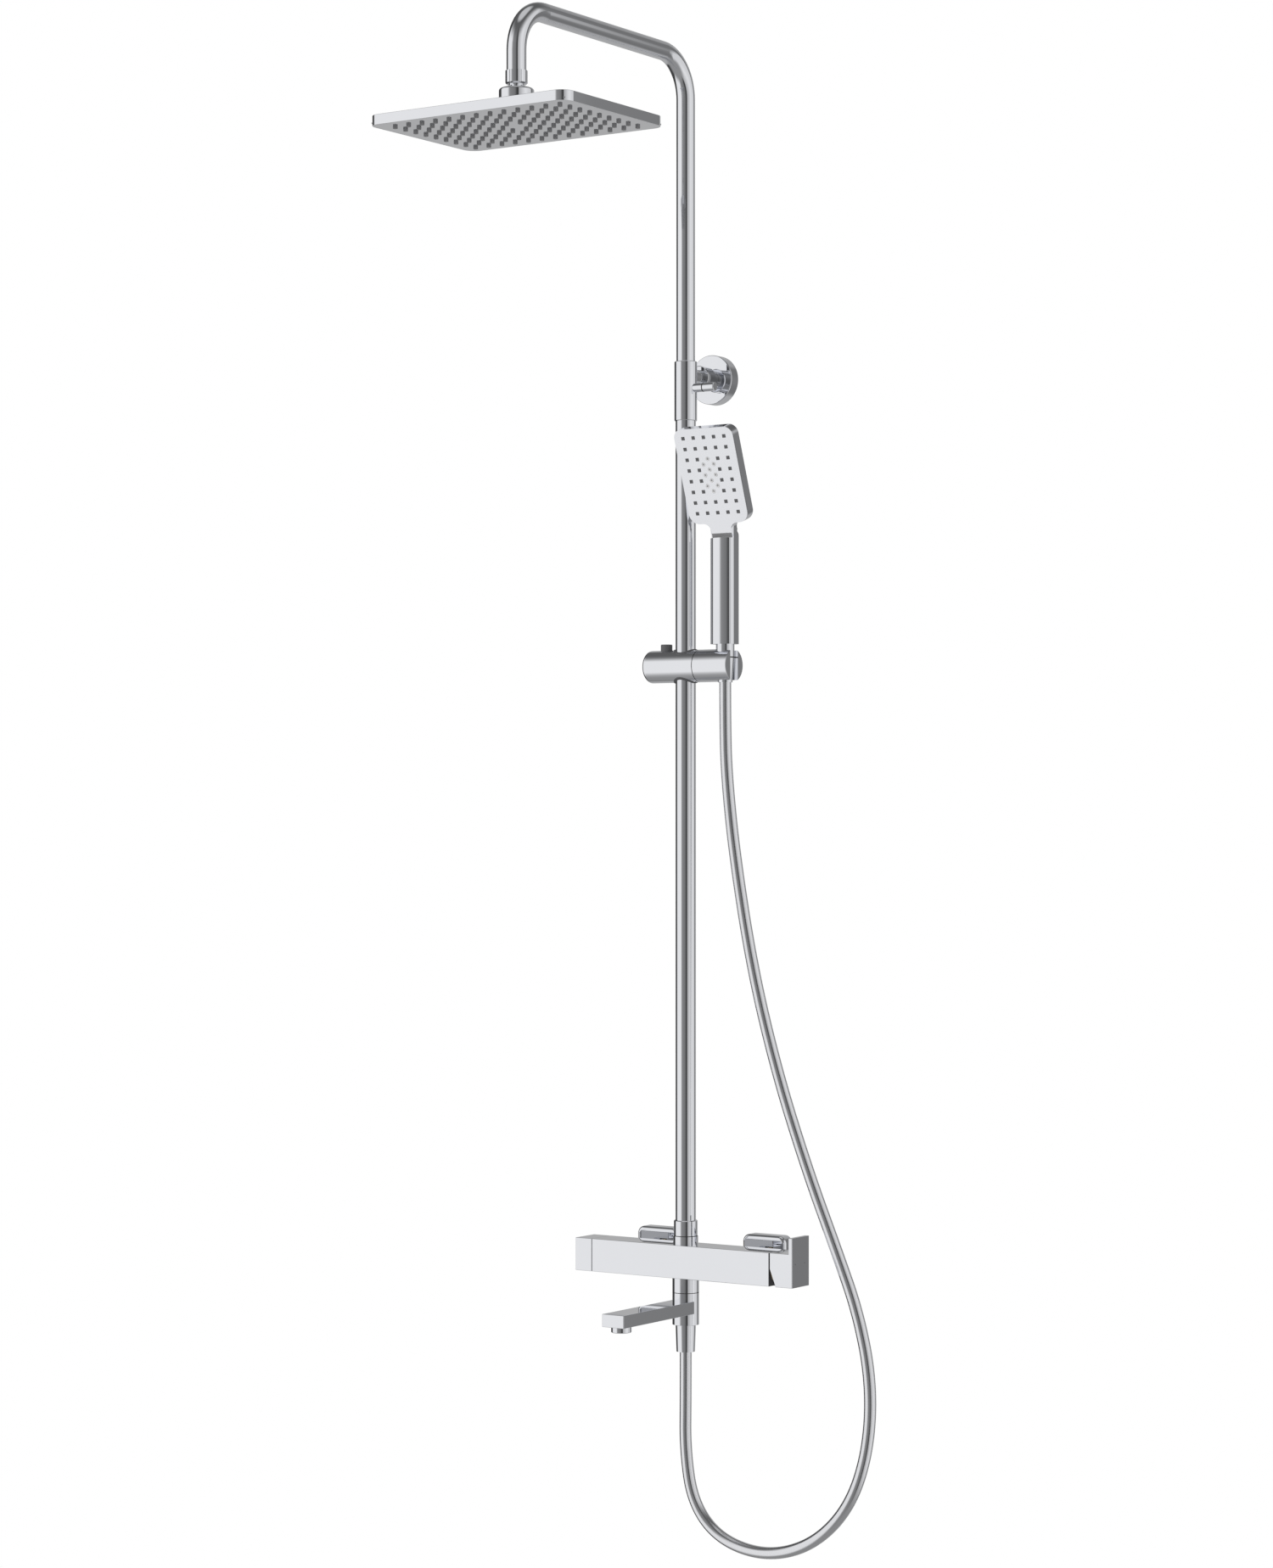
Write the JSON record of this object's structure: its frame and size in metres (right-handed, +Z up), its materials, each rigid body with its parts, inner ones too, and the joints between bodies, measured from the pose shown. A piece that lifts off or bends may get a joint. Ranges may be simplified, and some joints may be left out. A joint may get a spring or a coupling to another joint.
{
  "type": "rainfall shower column",
  "caption": "Exposed wall shower column: square bar mixer with lever and diverter, swivel spout, telescopic riser with tilting rain head, and a hand shower with hose on a sliding holder.",
  "frame": {"origin": "midpoint between the two water inlets on the finished wall", "axes": "+X right as one faces the wall, -Y out into the room, +Z up along the column"},
  "size_m": [0.4035, 0.52, 1.7676],
  "materials": {
    "chrome": "polished",
    "brass": "machined",
    "steel": "plain",
    "seal_rubber": "matte",
    "nozzle_rubber": "matte",
    "inner_plastic": "moulded",
    "bush_plastic": "moulded",
    "button_plastic": "fine texture",
    "face_plastic": "satin",
    "jet_plastic": "satin",
    "hose_silver": "satin"
  },
  "bodies": {
    "column": {"mixer_body": "chrome", "wall_unions": "brass", "filter_washers": "seal_rubber", "inlet_tails": "brass", "union_nuts": "chrome", "wall_rosettes": "chrome", "mixing_cartridge": "inner_plastic", "cartridge_ring": "brass", "diverter_cartridge": "inner_plastic", "diverter_ring": "brass", "riser_nipple": "chrome", "riser_washer": "seal_rubber", "riser_nut": "chrome", "lower_tube": "chrome", "tube_sleeve": "chrome", "sleeve_seal": "seal_rubber", "wall_post": "chrome", "set_screw": "steel", "bracket_base": "steel", "bracket_flange": "chrome", "outlet_stub": "chrome", "spout_seals": "seal_rubber", "spout_retainer": "steel", "hose_nut_lower": "chrome", "hose_loop": "hose_silver", "hose_rise": "hose_silver", "hose_bend": "hose_silver", "hose_end": "hose_silver"},
    "lock": {"lock_knob": "chrome"},
    "spout": {"spout": "chrome", "aerator_housing": "chrome", "aerator_insert": "inner_plastic"},
    "diverter_handle": {"diverter_knob": "chrome", "diverter_spindle": "brass"},
    "lever_carrier": {"lever_yoke": "inner_plastic", "lever_pin": "steel"},
    "lever": {"lever_stem": "brass", "lever_block": "chrome"},
    "riser": {"upper_tube": "chrome", "arm_collar": "chrome", "ball_stem": "chrome"},
    "joint_seat": {"ball_seat": "inner_plastic"},
    "joint_seal": {"ball_seal": "seal_rubber"},
    "rain_head": {"head_base": "chrome", "head_shell": "chrome", "head_face": "chrome", "head_nozzles": "nozzle_rubber"},
    "slider_sleeve": {"slider_bush": "bush_plastic"},
    "slider": {"slider_body": "chrome", "button_spring": "steel", "holder_axle": "steel"},
    "button": {"release_button": "button_plastic"},
    "holder": {"holder": "chrome"},
    "handset": {"handset_tube": "chrome", "handset_body": "chrome", "handset_face": "face_plastic", "handset_nozzles": "nozzle_rubber", "handset_jets": "jet_plastic", "hose_nut_upper": "chrome"}
  },
  "joints": [
    {"name": "spout_swivel", "type": "hinge", "parent": "column", "child": "spout", "pos_m": [0, -0.069, -0.0555], "axis": [0, 0, 1], "range_deg": [-90, 90]},
    {"name": "diverter_turn", "type": "hinge", "parent": "column", "child": "diverter_handle", "pos_m": [-0.121, -0.069, 0], "axis": [1, 0, 0], "range_deg": [-90, 90]},
    {"name": "lever_turn", "type": "hinge", "parent": "column", "child": "lever_carrier", "pos_m": [0.117, -0.069, 0], "axis": [1, 0, 0], "range_deg": [-45, 45]},
    {"name": "lever_pull", "type": "hinge", "parent": "lever_carrier", "child": "lever", "pos_m": [0.117, -0.069, 0], "axis": [0, 1, 0], "range_deg": [0, 20]},
    {"name": "lock_turn", "type": "hinge", "parent": "column", "child": "lock", "pos_m": [0.0258, -0.069, 1.0272], "axis": [1, 0, 0], "range_deg": [-90, 90]},
    {"name": "riser_telescope", "type": "slide", "parent": "column", "child": "riser", "axis": [0, 0, 1], "range_m": [-0.25, 0.1]},
    {"name": "head_pitch", "type": "hinge", "parent": "riser", "child": "joint_seat", "pos_m": [0, -0.408, 1.313], "axis": [1, 0, 0], "range_deg": [-10, 10]},
    {"name": "head_roll", "type": "hinge", "parent": "joint_seat", "child": "joint_seal", "pos_m": [0, -0.408, 1.313], "axis": [0, 1, 0], "range_deg": [-10, 10]},
    {"name": "head_turn", "type": "hinge", "parent": "joint_seal", "child": "rain_head", "pos_m": [0, -0.408, 1.313], "axis": [0, 0, 1], "continuous": true},
    {"name": "slider_slide", "type": "slide", "parent": "column", "child": "slider_sleeve", "axis": [0, 0, 1], "range_m": [-0.55, 0.12], "deforming": ["hose_loop", "hose_rise", "hose_bend", "hose_end"]},
    {"name": "slider_turn", "type": "hinge", "parent": "slider_sleeve", "child": "slider", "pos_m": [0, -0.069, 0.7], "axis": [0, 0, 1], "range_deg": [-90, 15], "deforming": ["hose_loop", "hose_rise", "hose_bend", "hose_end"]},
    {"name": "release_press", "type": "slide", "parent": "slider", "child": "button", "axis": [0, 0, -1], "range_m": [0, 0.003], "stiffness_N_per_m": 600, "springref_m": -0.002, "deforming": ["button_spring"]},
    {"name": "holder_tilt", "type": "hinge", "parent": "slider", "child": "holder", "pos_m": [0.0204, -0.069, 0.7], "axis": [1, 0, 0], "range_deg": [-15, 40], "deforming": ["hose_loop", "hose_rise", "hose_bend", "hose_end"]},
    {"name": "handset_lift", "type": "slide", "parent": "holder", "child": "handset", "axis": [0, 0, 1], "range_m": [0, 0.08], "deforming": ["hose_loop", "hose_rise", "hose_bend", "hose_end"]}
  ]
}
